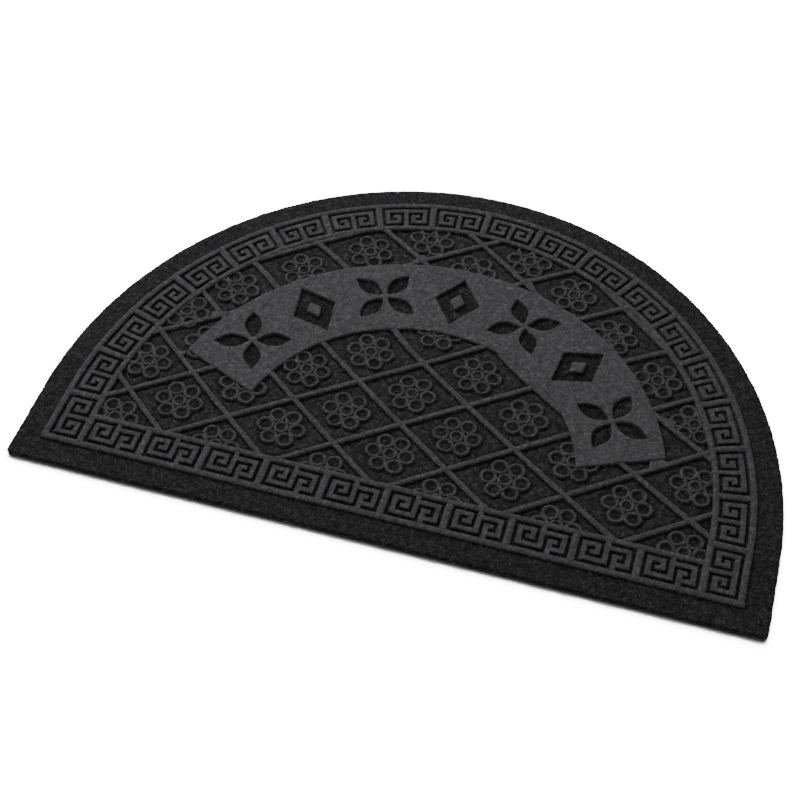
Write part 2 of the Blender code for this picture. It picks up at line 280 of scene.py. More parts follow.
def soft_step(value):
    """A smooth rise from 0 to 1 as the value goes from 0 to 1."""
    value = min(max(value, 0), 1)
    return value * value * (3 - 2 * value)


def bulge(x, reach):
    """A share of 1 on the mat's centre line that falls away to 0 at a reach on either side."""
    return 1 - (x / reach) ** 2


def drift(x, y):
    """Where a point of an even lattice lies on the pressed mat."""
    change = soft_step((y - DRIFT_CHANGE_START) / DRIFT_CHANGE_RUN)
    low_x = LOW_DRIFT_X * max(bulge(x, LOW_REACH_X), 0)
    low_y = LOW_DRIFT_Y * bulge(x, LOW_REACH_Y)
    high_x = HIGH_DRIFT_X * max(bulge(x, HIGH_REACH_X), 0)
    high_y = HIGH_DRIFT_Y * max(bulge(x, HIGH_REACH_Y), 0)
    return x + low_x + (high_x - low_x) * change, y + low_y + (high_y - low_y) * change


def depth_in_field(x, y):
    """How far a plan point lies inside the inner frame line's middle; negative is outside."""
    half_width = HALF_WIDTH - INNER_LINE
    if y < SIDE_HEIGHT:
        return min(y - INNER_LINE, half_width - abs(x))
    along = (y - SIDE_HEIGHT) / (DEPTH - SIDE_HEIGHT - INNER_LINE)
    return (1 - math.hypot(x / half_width, along)) * half_width


def depth_in_band(x, y):
    """How far a plan point lies inside the arched band; negative is outside."""
    outside = math.hypot(x, y - BAND_OUTER_CENTRE)
    inside = math.hypot(x, y - BAND_INNER_CENTRE)
    outer_x, outer_y = polar(BAND_OUTER_RADIUS, BAND_OUTER_END)
    inner_x, inner_y = polar(BAND_INNER_RADIUS, BAND_INNER_END)
    end = Vector((outer_x - inner_x, outer_y + BAND_OUTER_CENTRE - inner_y - BAND_INNER_CENTRE))
    end.normalize()
    past_end = end.x * (y - inner_y - BAND_INNER_CENTRE) - end.y * (abs(x) - inner_x)
    return min(BAND_OUTER_RADIUS - outside, inside - BAND_INNER_RADIUS, past_end)


FLOWER_PLACES = {}


def flower_of(column, row):
    """The middle of the flower of one diamond, worked out once."""
    if (column, row) not in FLOWER_PLACES:
        even = (column * HALF_DIAGONAL_X, LATTICE_BASE + row * HALF_DIAGONAL_Y)
        FLOWER_PLACES[(column, row)] = flower_place(*even)
    return FLOWER_PLACES[(column, row)]


def flower_place(x, y):
    """The middle of the flower in a diamond, drawn in where it has too little room."""
    x, y = drift(x, y)
    y += FLOWER_LIFT * (1 - soft_step((y - LATTICE_BASE) / FLOWER_LIFT_RUN))
    short = FLOWER_ROOM - depth_in_field(x, y)
    if y < SIDE_HEIGHT or not 0 < short < FLOWER_MOST_SHORT:
        return x, y
    draw = FLOWER_DRAW * short / math.hypot(x, y - SIDE_HEIGHT)
    return x * (1 - draw), SIDE_HEIGHT + (y - SIDE_HEIGHT) * (1 - draw)


def outside_flower(x, y, column, row):
    """How far a plan point lies outside the scalloped edge of a diamond's flower."""
    middle_x, middle_y = flower_of(column, row)
    away_x = x - middle_x
    away_y = y - middle_y
    petal = round(math.atan2(away_y, away_x) / (2 * math.pi / PETALS)) * 2 * math.pi / PETALS
    petal_x, petal_y = polar(PETAL_DISTANCE, petal)
    return math.hypot(away_x - petal_x, away_y - petal_y) - PETAL_RADIUS - RIM_RADIUS


def pocket_rise(x, y):
    """How far the floor of a pocket swells between its ribs and its flower, from 0 to 1."""
    rounds = 3
    even_x, even_y = x, y
    for _ in range(rounds):
        moved_x, moved_y = drift(even_x, even_y)
        even_x += x - moved_x
        even_y += y - moved_y
    across = even_x / HALF_DIAGONAL_X
    upward = (even_y - LATTICE_BASE) / HALF_DIAGONAL_Y
    rib_gap = HALF_DIAGONAL_X * HALF_DIAGONAL_Y / math.hypot(HALF_DIAGONAL_X, HALF_DIAGONAL_Y)
    middle_sum = 2 * math.floor((across + upward) / 2) + 1
    middle_difference = 2 * math.floor((across - upward) / 2) + 1
    to_rib = rib_gap * min(
        1 - abs(across + upward - middle_sum), 1 - abs(across - upward - middle_difference)
    )
    column = (middle_sum + middle_difference) // 2
    row = (middle_sum - middle_difference) // 2
    to_flower = outside_flower(x, y, column, row)
    clear = min(to_rib - RIB_WIDTH / 2, to_flower, depth_in_field(x, y) - LINE_WIDTH / 2)
    dip = DIP_SHARE * soft_step((clear - DIP_START) / DIP_RUN)
    return soft_step((clear - SWELL_START) / SWELL_RUN) - dip


def uneven(point, size, amount):
    """A smooth unevenness at a place, about one bump for each size."""
    return noise.noise(point / size) * amount


def roughen(bm, lift, sway):
    """Make pressed fibre uneven: lift is up and down, and sway is sideways."""
    for vertex in bm.verts:
        place = vertex.co.copy()
        if place.z < FOOT + 0.1 * MM:
            continue
        rise = uneven(place, 5 * MM, lift) + uneven(place, 1.8 * MM, lift * 0.6)
        shift = noise.noise_vector(place / (4.5 * MM)) * sway
        shift += noise.noise_vector(place / (1.4 * MM)) * sway * 0.5
        vertex.co += Vector((shift.x, shift.y, rise))


def loose_object(bm, name):
    """Turn a bmesh into an object that isn't in the scene yet."""
    mesh = bpy.data.meshes.new(name)
    bm.to_mesh(mesh)
    bm.free()
    return bpy.data.objects.new(name, mesh)


def ride_piece(mesh, name):
    """Make a mesh a piece that rides on the mat's body."""
    piece = bpy.data.objects.new(name, mesh)
    bpy.context.scene.collection.objects.link(piece)
    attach(piece, "root")
    return piece


def finish_piece(bm, name, material, smooth_angle=60):
    """Turn a bmesh into a smooth piece of one material."""
    mesh = bpy.data.meshes.new(name)
    bm.to_mesh(mesh)
    bm.free()
    mesh.materials.append(material)
    mesh.shade_smooth()
    mesh.set_sharp_from_angle(angle=math.radians(smooth_angle))
    return ride_piece(mesh, name)


def lay_grid(bm, columns, rows, place):
    """Add a flat grid; place(u, v) gives the plan of its unit square."""
    made = bmesh.ops.create_grid(bm, x_segments=columns, y_segments=rows, size=0.5)["verts"]
    for vertex in made:
        x, y = place(vertex.co.x + 0.5, vertex.co.y + 0.5)
        vertex.co = plan_to_frame(x, y, FOOT)


def stand_up(bm, top, softness):
    """Raise flat faces from their foot in a soft profile, and note how far each vertex is raised."""
    raised = bm.verts.layers.float.new("raised")
    for vertex in bm.verts:
        vertex.co.z = FOOT
    bmesh.ops.recalc_face_normals(bm, faces=bm.faces)
    grown = bmesh.ops.extrude_face_region(bm, geom=bm.faces[:])["geom"]
    crown = [part for part in grown if isinstance(part, bmesh.types.BMFace)]
    for set_in, share in RAISED_PROFILE:
        if set_in:
            bmesh.ops.inset_region(
                bm,
                faces=crown,
                thickness=set_in * softness,
                use_boundary=True,
                use_even_offset=True,
            )
        for vertex in {vertex for face in crown for vertex in face.verts}:
            vertex.co.z = FOOT + (top - FOOT) * share
            vertex[raised] = share
    bmesh.ops.recalc_face_normals(bm, faces=bm.faces)


def half_round_grid(bm, columns, rows):
    """A grid whose vertices keep their share of the mat's width and height."""
    across = bm.verts.layers.float.new("across")
    upward = bm.verts.layers.float.new("upward")
    bmesh.ops.create_grid(bm, x_segments=columns, y_segments=rows, size=0.5)
    for vertex in bm.verts:
        vertex[across] = vertex.co.x * 2
        vertex[upward] = vertex.co.y + 0.5
    return across, upward


def open_rim(bm):
    """The edges round the opening of a sheet."""
    return [edge for edge in bm.edges if edge.is_boundary]


def grow_rim(bm):
    """Grow a sheet by one ring at its rim, and give the ring's vertices."""
    grown = bmesh.ops.extrude_edge_only(bm, edges=open_rim(bm))["geom"]
    return [part for part in grown if isinstance(part, bmesh.types.BMVert)]


def close_rim(bm):
    """Close a sheet underneath with one face."""
    bmesh.ops.contextual_create(bm, geom=open_rim(bm))
    bmesh.ops.recalc_face_normals(bm, faces=bm.faces)


def fibre_sheet(material):
    """The fibre's whole body: a rough floor, the low border and its soft cut edge."""
    bm = bmesh.new()
    raised = bm.verts.layers.float.new("raised")
    across, upward = half_round_grid(bm, columns=320, rows=180)
    field_margin = INNER_LINE + 2.5 * MM
    for vertex in bm.verts:
        x, y = mat_point(vertex[across], vertex[upward], field_margin)
        rise = pocket_rise(x, y)
        vertex[raised] = rise * SWELL_TONE
        vertex.co = plan_to_frame(x, y, POCKET_FLOOR + (rise - SWELL_LEVEL) * POCKET_SWELL)

    # Each ring outwards: its margin from the mat's edge, its height and its tone.
    key_margins = (INNER_LINE - 3 * MM, 44 * MM, 38 * MM, 32 * MM, OUTER_LINE + 3 * MM, OUTER_LINE)
    border_margins = (OUTER_LINE - 5.2 * MM, *(mm * MM for mm in (15.6, 13.4, 11.2, 9.0, 6.8, 4.8)))
    rings = (
        (INNER_LINE, POCKET_FLOOR, KEY_FLOOR_TONE),
        *((margin, KEY_FLOOR, KEY_FLOOR_TONE) for margin in key_margins),
        (OUTER_LINE - 2.6 * MM, KEY_FLOOR - 0.1 * MM, KEY_FLOOR_TONE),
        (OUTER_LINE - 3.6 * MM, KEY_FLOOR + 0.1 * MM, KEY_FLOOR_TONE),
        *((margin, BORDER_TOP, BORDER_TONE) for margin in border_margins),
        (3.0 * MM, BORDER_TOP - 0.05 * MM, BORDER_TONE),
        (1.7 * MM, BORDER_TOP - 0.2 * MM, BORDER_TONE),
        # The cut side and the underside are toned below 0: painted shade.
        (0.8 * MM, BORDER_TOP - 0.55 * MM, SHADED_SIDE_TONE),
        (0.2 * MM, BORDER_TOP - 1.1 * MM, SHADED_SIDE_TONE),
        (0.0, 3.6 * MM, SHADED_SIDE_TONE),
        (0.3 * MM, 2.9 * MM, SHADED_SIDE_TONE),
        (1.0 * MM, FIBRE_BOTTOM + 0.25 * MM, SHADED_SIDE_TONE),
        (2.4 * MM, FIBRE_BOTTOM + 0.02 * MM, SHADED_SIDE_TONE),
    )
    for margin, height, tone in rings:
        for vertex in grow_rim(bm):
            x, y = mat_point(vertex[across], vertex[upward], margin)
            vertex.co = plan_to_frame(x, y, height)
            vertex[raised] = tone
    for vertex in bm.verts:
        if vertex.co.z > FIBRE_BOTTOM + 0.1 * MM:
            place = vertex.co.copy()
            broad = uneven(place, 6 * MM, 0.32 * MM)
            fine = uneven(place, 2.4 * MM, 0.16 * MM)
            shift = noise.noise_vector(place / (5 * MM)) * 0.45 * MM
            vertex.co += Vector((shift.x, shift.y, broad + fine))
    close_rim(bm)
    piece = finish_piece(bm, "fibre_sheet", material)
    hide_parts("fibre_mat")
    return piece


def rubber_sheet(material):
    """The rubber backing, with a softly broken edge."""
    bm = bmesh.new()
    across, upward = half_round_grid(bm, columns=150, rows=40)
    first_margin = 3 * MM
    for vertex in bm.verts:
        x, y = mat_point(vertex[across], vertex[upward], first_margin)
        vertex.co = plan_to_frame(x, y, RUBBER_HIGH.z)
    thick = RUBBER_HIGH.z - RUBBER_LOW.z

    # Each ring outwards and then down and under: its margin, and its share of the height.
    rings = (
        (0.5 * MM, 1.0),
        (0.15 * MM, 0.93),
        (0.0, 0.75),
        (0.0, 0.25),
        (0.15 * MM, 0.07),
        (0.5 * MM, 0.0),
        (first_margin, 0.0),
    )
    for margin, share in rings:
        for vertex in grow_rim(bm):
            x, y = mat_point(vertex[across], vertex[upward], margin)
            vertex.co = plan_to_frame(x, y, RUBBER_LOW.z + thick * share)
    close_rim(bm)
    piece = finish_piece(bm, "rubber_sheet", material, 35)
    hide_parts("rubber_backing")
    return piece


def line_loop(bm, low, high):
    """One frame line all the way round, between two margins from the mat's edge."""
    width = high - low
    edge_steps = int(2 * (HALF_WIDTH - low) / (3 * MM))
    side_steps = 14
    arch_steps = 300

    def along_edge(u, v):
        here = low + v * width
        return (2 * u - 1) * (HALF_WIDTH - here), here

    def up_side(u, v):
        here = low + v * width
        return HALF_WIDTH - here, here + u * (SIDE_HEIGHT - here)

    def down_side(u, v):
        x, y = up_side(1 - u, v)
        return -x, y

    def over_arch(u, v):
        return arch_point(math.pi * u, low + v * width)

    lay_grid(bm, edge_steps, 2, along_edge)
    lay_grid(bm, side_steps, 2, up_side)
    lay_grid(bm, side_steps, 2, down_side)
    lay_grid(bm, arch_steps, 2, over_arch)


def separators(bm):
    """The short bars between the key cells, each run a little into both frame lines."""
    run_in = 1 * MM
    low = OUTER_LINE - run_in
    high = INNER_LINE + run_in
    width = LINE_WIDTH + 2 * GROOVE_CLOSING
    bar_steps = 12
    for number in range(STRAIGHT_CELLS + 1):
        middle = number * STRAIGHT_PITCH - STRAIGHT_PITCH * STRAIGHT_CELLS / 2

        def place_straight(u, v, middle=middle):
            return middle + (u - 0.5) * width, low + v * (high - low)

        lay_grid(bm, 2, bar_steps, place_straight)
    for number in range(1, ARCH_CELLS):
        middle = number * ARCH_PITCH - ARCH_SIDE

        def place_arch(u, v, middle=middle):
            return arch_border_point(middle + (u - 0.5) * width, high + v * (low - high))

        lay_grid(bm, 2, bar_steps, place_arch)


def frame_lines(material):
    """The two frame lines and the bars between the key cells."""
    half = LINE_WIDTH / 2
    key_half = half + GROOVE_CLOSING
    lines = []
    for name, lay in (
        ("outer_frame_line", lambda bm: line_loop(bm, OUTER_LINE - half, OUTER_LINE + key_half)),
        ("inner_frame_line", lambda bm: line_loop(bm, INNER_LINE - key_half, INNER_LINE + half)),
        ("key_separators", separators),
    ):
        bm = bmesh.new()
        lay(bm)
        bmesh.ops.remove_doubles(bm, verts=bm.verts, dist=0.01 * MM)
        stand_up(bm, RAISED_TOP - 0.15 * MM, 1.5)
        roughen(bm, 0.16 * MM, 0.34 * MM)
        lines.append(finish_piece(bm, name, material))
    return lines


def key_cell(bm, chart, place):
    """The raised meander of one cell, with its ends run into the frame lines."""
    columns = len(chart[0])
    long_chart = (chart[0], *chart, chart[-1])
    rows = len(long_chart)
    inner_rows = len(chart)

    def place_long(u, v):
        return place(u, (v * rows - 1) / inner_rows)

    def is_land(column, row):
        inside = 0 <= column < columns and 0 <= row < rows
        return inside and long_chart[rows - 1 - row][column] == "."

    def is_raised(face):
        middle = face.calc_center_median()
        column, third_across = divmod(int(middle.x * columns * 3), 3)
        row, third_up = divmod(int(middle.y * rows * 3), 3)
        beside = column + third_across - 1
        above = row + third_up - 1
        near_squares = ((column, row), (beside, row), (column, above), (beside, above))
        return any(is_land(*square) for square in near_squares)

    def narrow_thirds(value, squares):
        square, third = divmod(round(value * squares * 3), 3)
        return (square + (0, GROOVE_INSET, 1 - GROOVE_INSET)[third]) / squares

    cell = bmesh.new()
    bmesh.ops.create_grid(cell, x_segments=columns * 3, y_segments=rows * 3, size=0.5)
    bmesh.ops.translate(cell, verts=cell.verts, vec=(0.5, 0.5, 0))
    grooves = [face for face in cell.faces if not is_raised(face)]
    bmesh.ops.delete(cell, geom=grooves, context="FACES")
    for vertex in cell.verts:
        vertex.co.x = narrow_thirds(vertex.co.x, columns)
        vertex.co.y = narrow_thirds(vertex.co.y, rows)
    copies = {}
    for vertex in cell.verts:
        x, y = place_long(vertex.co.x, vertex.co.y)
        copies[vertex] = bm.verts.new(plan_to_frame(x, y, FOOT))
    for face in cell.faces:
        bm.faces.new([copies[vertex] for vertex in face.verts])
    cell.free()


def key_lands(material):
    """The raised Greek key meanders of the straight side and of the arch."""
    near = OUTER_LINE + LINE_WIDTH / 2
    far = INNER_LINE - LINE_WIDTH / 2
    run = STRAIGHT_PITCH * STRAIGHT_CELLS / 2

    def place_straight(number, u, v):
        left = number * STRAIGHT_PITCH - run + LINE_WIDTH / 2
        return left + u * (STRAIGHT_PITCH - LINE_WIDTH), near + v * (far - near)

    def place_arch(number, u, v):
        start = number * ARCH_PITCH + LINE_WIDTH / 2 - ARCH_SIDE
        return arch_border_point(start + u * (ARCH_PITCH - LINE_WIDTH), far + v * (near - far))

    made = []
    for name, chart, cells, place in (
        ("straight_key_lands", STRAIGHT_KEY, STRAIGHT_CELLS, place_straight),
        ("arch_key_lands", ARCH_KEY, ARCH_CELLS, place_arch),
    ):
        bm = bmesh.new()
        for number in range(cells):
            key_cell(bm, chart, lambda u, v, place=place, number=number: place(number, u, v))
        stand_up(bm, RAISED_TOP - 0.25 * MM, 0.9)
        roughen(bm, 0.16 * MM, 0.3 * MM)
        made.append(finish_piece(bm, name, material))
    return made


def rib_point(start, heading, along, aside):
    """A plan point on a rib: along it from its start, and aside to its left."""
    x = start[0] + heading[0] * along - heading[1] * aside
    y = start[1] + heading[1] * along + heading[0] * aside
    return drift(x, y)


def band_gap(start, heading, along):
    """How far a rib's middle lies from the band where it runs close along it, or else 0."""
    look_ahead = 10 * MM
    most_gap = 8 * MM
    most_change = 6 * MM
    here = -depth_in_band(*rib_point(start, heading, along, 0))
    ahead = -depth_in_band(*rib_point(start, heading, along + look_ahead, 0))
    close = 0 < here < most_gap and abs(ahead - here) < most_change
    return here if close else 0


def rib_runs(start, heading, length):
    """The stretches of a rib that lie open in the field, as distances along it."""
    step = 0.5 * MM
    into_band = 2 * MM
    shortest = 4 * MM
    runs = []
    first = None
    for count in range(int(length / step)):
        along = count * step
        x, y = rib_point(start, heading, along, 0)
        open_here = depth_in_field(x, y) > 0 and depth_in_band(x, y) < into_band
        if open_here and first is None:
            first = along
        if not open_here and first is not None:
            runs.append((first, along))
            first = None
    if first is not None:
        runs.append((first, length))
    return [run for run in runs if run[1] - run[0] > shortest]


def lattice_ribs(material):
    """The straight ribs that cross the field both ways and make its diamonds."""
    bm = bmesh.new()
    diagonal = math.hypot(HALF_DIAGONAL_X, HALF_DIAGONAL_Y)
    rise = HALF_DIAGONAL_Y / diagonal
    width = RIB_WIDTH + 0.9 * MM
    before_field = 200 * MM
    length = 900 * MM
    most = 14
    for side in (1, -1):
        heading = (side * HALF_DIAGONAL_X / diagonal, rise)
        for number in range(-most, most + 1, 2):
            start_x = number * HALF_DIAGONAL_X - heading[0] * before_field
            start = (start_x, LATTICE_BASE - heading[1] * before_field)
            for first, last in rib_runs(start, heading, length):

                def place(u, v, side=side, first=first, last=last, start=start, heading=heading):
                    along = first + u * (last - first)
                    aside = (v - 0.5) * width
                    if aside * side > 0:
                        joined = band_gap(start, heading, along) + 1 * MM
                        aside = side * max(abs(aside), joined)
                    return rib_point(start, heading, along, aside)

                lay_grid(bm, max(2, int((last - first) / (3 * MM))), 2, place)
    stand_up(bm, RAISED_TOP - 0.45 * MM, 1.3)
    roughen(bm, 0.18 * MM, 0.4 * MM)
    return finish_piece(bm, "lattice_ribs", material)


def leaf_depth(x, y):
    """How far a point lies inside a cross of four pointed leaves about the origin."""
    turned = (math.atan2(y, x) + math.pi) % (math.pi / 2) - math.pi / 4
    radius = math.hypot(x, y)
    along = (radius * math.cos(turned) - LEAF_NEAR) / LEAF_LENGTH
    if not 0 < along < 1:
        return FAR_OUTSIDE
    half = LEAF_WIDTH / 2 * math.sin(math.pi * along)
    return half - abs(radius * math.sin(turned))


def lozenge_depth(x, y):
    """How far a point lies inside a lozenge ring about the origin."""
    outer = lozenge_edge(x, y, *LOZENGE_OUTER)
    inner = lozenge_edge(x, y, *LOZENGE_INNER)
    return min(outer, -inner)


def lozenge_edge(x, y, half_width, half_height):
    """How far a point lies inside a lozenge."""
    slant = math.hypot(half_width, half_height)
    return (1 - abs(x) / half_width - abs(y) / half_height) * half_width * half_height / slant


def ornament_depth(x, y):
    """How far a plan point of the band lies inside one of its pressed ornaments."""
    radius = (BAND_OUTER_RADIUS + BAND_INNER_RADIUS) / 2
    band_y = y - (BAND_OUTER_CENTRE + BAND_INNER_CENTRE) / 2
    pitch = (math.pi - 2 * ORNAMENT_FIRST) / (ORNAMENTS - 1)
    number = round((math.pi - ORNAMENT_FIRST - math.atan2(band_y, x)) / pitch)
    if not 0 <= number < ORNAMENTS:
        return FAR_OUTSIDE
    middle = math.pi - ORNAMENT_FIRST - pitch * number
    centre_x, centre_y = polar(radius, middle)
    away_x = x - centre_x
    away_y = band_y - centre_y
    turn = math.pi / 2 - middle
    local_x = away_x * math.cos(turn) - away_y * math.sin(turn)
    local_y = away_x * math.sin(turn) + away_y * math.cos(turn)
    if number % 2 == 0:
        return leaf_depth(local_x, local_y)
    return lozenge_depth(local_x, local_y)


def band_point(u, v, margin):
    """A point of the arched band: u along it from its right end, v inwards, and in by a margin."""
    outer_radius = BAND_OUTER_RADIUS - margin
    inner_radius = BAND_INNER_RADIUS + margin
    outer_end = BAND_OUTER_END + margin / outer_radius
    inner_end = BAND_INNER_END + margin / inner_radius
    outer_x, outer_y = polar(outer_radius, outer_end + u * (math.pi - 2 * outer_end))
    inner_x, inner_y = polar(inner_radius, inner_end + u * (math.pi - 2 * inner_end))
    outer_y += BAND_OUTER_CENTRE
    inner_y += BAND_INNER_CENTRE
    return outer_x + (inner_x - outer_x) * v, outer_y + (inner_y - outer_y) * v


def arched_band(material):
    """The raised band over the field, with its row of ornaments pressed into it."""
    bm = bmesh.new()
    along = bm.verts.layers.float.new("along")
    inward = bm.verts.layers.float.new("inward")
    raised = bm.verts.layers.float.new("raised")
    columns = 520
    rows = 88
    bmesh.ops.create_grid(bm, x_segments=columns, y_segments=rows, size=0.5)
    top_margin = 1.4 * MM
    drop = RAISED_TOP - KEY_FLOOR
    for vertex in bm.verts:
        vertex[along] = vertex.co.x + 0.5
        vertex[inward] = vertex.co.y + 0.5
        x, y = band_point(vertex[along], vertex[inward], top_margin)
        pressed = soft_step(ornament_depth(x, y) / PRESS_SLOPE + 0.5)
        # The ornaments' floors are toned darker than the pockets: painted shade in the recesses.
        vertex[raised] = 1 + (PRESSED_AND_SHADED_TONE - 1) * pressed
        vertex.co = plan_to_frame(x, y, RAISED_TOP - drop * pressed)
    soft_edge = ((0.7 * MM, 0.9), (0.25 * MM, 0.66), (0.0, 0.3), (0.0, 0.0))
    for margin, share in soft_edge:
        for vertex in grow_rim(bm):
            x, y = band_point(vertex[along], vertex[inward], margin)
            vertex.co = plan_to_frame(x, y, FOOT + (RAISED_TOP - FOOT) * share)
            vertex[raised] = share
    bmesh.ops.recalc_face_normals(bm, faces=bm.faces)
    roughen(bm, 0.2 * MM, 0.2 * MM)
    return finish_piece(bm, "arched_band", material, smooth_angle=80)


def flower_rings():
    """The middle and radius of every ring whose flower shows in the field."""
    rows = 10
    most = 6
    for row in range(rows):
        for column in range(-most, most + 1):
            if (row + column) % 2 != 1:
                continue
            x, y = flower_of(column, row)
            yield x, y, HEART_RADIUS
            for petal in range(PETALS):
                dx, dy = polar(PETAL_DISTANCE, petal * 2 * math.pi / PETALS)
                yield x + dx, y + dy, PETAL_RADIUS


def flower_ring(number, x, y, radius):
    """One petal ring: a round rim about a shallow bowl, on a low round foot."""
    ring = bmesh.new()
    place = plan_to_frame(x, y, 0)
    wobble = 1 + 0.05 * noise.noise(Vector((number * 3.1, 0.3, 0.7)))
    lift = 0.25 * MM * noise.noise(Vector((number * 1.7, 5.3, 0.7)))
    rim = RIM_RADIUS

    # From the outside in: each ring's radius, height and tone.
    profile = (
        (radius + rim + 0.9 * MM, POCKET_FLOOR - 0.6 * MM, 0.0),
        (radius + rim + 0.1 * MM, POCKET_FLOOR - 0.05 * MM, 0.0),
        (radius + rim * 0.75, FLOWER_TOP - 0.8 * MM + lift, 0.55),
        (radius + rim * 0.4, FLOWER_TOP - 0.15 * MM + lift, 0.74),
        (radius, FLOWER_TOP + lift, 0.8),
        (radius - rim * 0.4, FLOWER_TOP - 0.2 * MM + lift, 0.74),
        (radius - rim * 0.75, FLOWER_TOP - 0.9 * MM + lift, 0.5),
        # The bowl is toned darker than the floor, most at the rim's inner foot: painted shade inside
        # the rim.
        (radius - rim * 1.2, POCKET_FLOOR + 0.2 * MM, -0.2),
        (radius * 0.35, POCKET_FLOOR + 0.35 * MM, -0.05),
        (0.0, POCKET_FLOOR + 0.6 * MM, 0.1),
    )
    raised = ring.verts.layers.float.new("raised")
    verts = [ring.verts.new((place.x + r * wobble, place.y, z)) for r, z, _ in profile]
    for vertex, (_, _, tone) in zip(verts, profile):
        vertex[raised] = tone
    turn_steps = 18
    edges = [ring.edges.new(pair) for pair in zip(verts[:-1], verts[1:])]
    bmesh.ops.spin(
        ring,
        geom=verts + edges,
        cent=place,
        axis=(0, 0, 1),
        angle=2 * math.pi,
        steps=turn_steps,
        use_merge=True,
        use_duplicate=False,
    )
    bmesh.ops.remove_doubles(ring, verts=ring.verts, dist=0.01 * MM)
    return ring


def trim_to_field(ring, x, y):
    """Cut a ring off at the middle of the inner frame line where it runs over it."""
    step = 0.5 * MM
    depth = depth_in_field(x, y)
    slope = Vector((
        depth_in_field(x + step, y) - depth_in_field(x - step, y),
        depth_in_field(x, y + step) - depth_in_field(x, y - step),
        0,
    ))
    inward = slope.normalized()
    cut_at = plan_to_frame(x, y, 0) - inward * depth
    bmesh.ops.bisect_plane(
        ring,
        geom=ring.verts[:] + ring.edges[:] + ring.faces[:],
        plane_co=cut_at,
        plane_no=-inward,
        clear_outer=True,
    )


def flowers(material):
    """The ringed flowers in the pockets, kept clear of the key border and the band's ornaments."""
    bm = bmesh.new()
    scratch = bpy.data.meshes.new("ring")
    into_band = 4 * MM
    near_line = 4 * MM
    for number, (x, y, radius) in enumerate(flower_rings()):
        depth = depth_in_field(x, y)
        if depth < -radius or depth_in_band(x, y) > into_band:
            continue
        ring = flower_ring(number, x, y, radius)
        if depth < radius + near_line:
            trim_to_field(ring, x, y)
        ring.to_mesh(scratch)
        ring.free()
        bm.from_mesh(scratch)
    bpy.data.meshes.remove(scratch)
    bmesh.ops.recalc_face_normals(bm, faces=bm.faces)
    roughen(bm, 0.2 * MM, 0.45 * MM)
    return finish_piece(bm, "flowers", material, smooth_angle=80)


def new_group(name, inputs, outputs):
    """A shader node group with its sockets and its two end nodes."""
    group = bpy.data.node_groups.new(name, "ShaderNodeTree")
    for label, kind, value in inputs:
        socket = group.interface.new_socket(label, in_out="INPUT", socket_type=kind)
        socket.default_value = value
    for label, kind in outputs:
        group.interface.new_socket(label, in_out="OUTPUT", socket_type=kind)
    start = group.nodes.new("NodeGroupInput")
    end = group.nodes.new("NodeGroupOutput")
    return group, start, end


def feed(tree, socket, value):
    """Set a socket to a plain value, or join it to a node's output."""
    if isinstance(value, bpy.types.NodeSocket):
        tree.links.new(value, socket)
    else:
        socket.default_value = value


def add_node(tree, kind, inputs=(), **settings):
    """A new node, with its settings and with its inputs fed by name or in order."""
    node = tree.nodes.new(kind)
    for name, setting in settings.items():
        setattr(node, name, setting)
    for key, value in inputs.items() if isinstance(inputs, dict) else enumerate(inputs):
        feed(tree, node.inputs[key], value)
    return node


def math_node(tree, operation, *values):
    """A Math node's result, from numbers or other nodes' outputs."""
    return add_node(tree, "ShaderNodeMath", values, operation=operation).outputs[0]


def vector_math(tree, operation, *values):
    """A Vector Math node's result, from vectors or other nodes' outputs."""
    return add_node(tree, "ShaderNodeVectorMath", values, operation=operation).outputs[0]


def noise_node(tree, where, scale, detail, roughness=0.6):
    """A Noise texture's factor at a place."""
    inputs = {"Vector": where, "Scale": scale, "Detail": detail, "Roughness": roughness}
    return add_node(tree, "ShaderNodeTexNoise", inputs).outputs[0]


def map_range(tree, value, low, high, to_low=0.0, to_high=1.0):
    """A Map Range node, clamped."""
    values = (value, low, high, to_low, to_high)
    return add_node(tree, "ShaderNodeMapRange", values).outputs["Result"]


def mix_colour(tree, factor, first, second):
    """A colour Mix node whose colours are plain values or outputs."""
    node = add_node(tree, "ShaderNodeMix", (factor,), data_type="RGBA")
    colours = [socket for socket in node.inputs if socket.type == "RGBA"]
    for socket, value in zip(colours, (first, second)):
        feed(tree, socket, (*value, 1.0) if isinstance(value, tuple) else value)
    return [socket for socket in node.outputs if socket.type == "RGBA"][0]


def felt_relief_group():
    """Fine unevenness of needle-punched fibre: matted tufts, short strands and pin marks."""
    group, start, end = new_group(
        "felt_relief",
        [("Place", "NodeSocketVector", (0, 0, 0)), ("Coarseness", "NodeSocketFloat", 1.0)],
        [("Height", "NodeSocketFloat"), ("Strands", "NodeSocketFloat")],
    )
    place = start.outputs["Place"]
    tufts = noise_node(group, place, 420, 4, 0.65)
    strands = add_node(
        group,
        "ShaderNodeTexNoise",
        {"Vector": place, "Scale": 650, "Detail": 3, "Distortion": 0.6},
        noise_type="RIDGED_MULTIFRACTAL",
    )
    strand_height = map_range(group, strands.outputs[0], 0.2, 1.4)
    pins = noise_node(group, place, 1600, 2, 0.5)
    coarse = math_node(group, "MULTIPLY", tufts, start.outputs["Coarseness"])
    height = math_node(group, "MULTIPLY_ADD", strand_height, 0.5, coarse)
    feed(group, end.inputs["Height"], math_node(group, "MULTIPLY_ADD", pins, 0.25, height))
    feed(group, end.inputs["Strands"], strand_height)
    return group


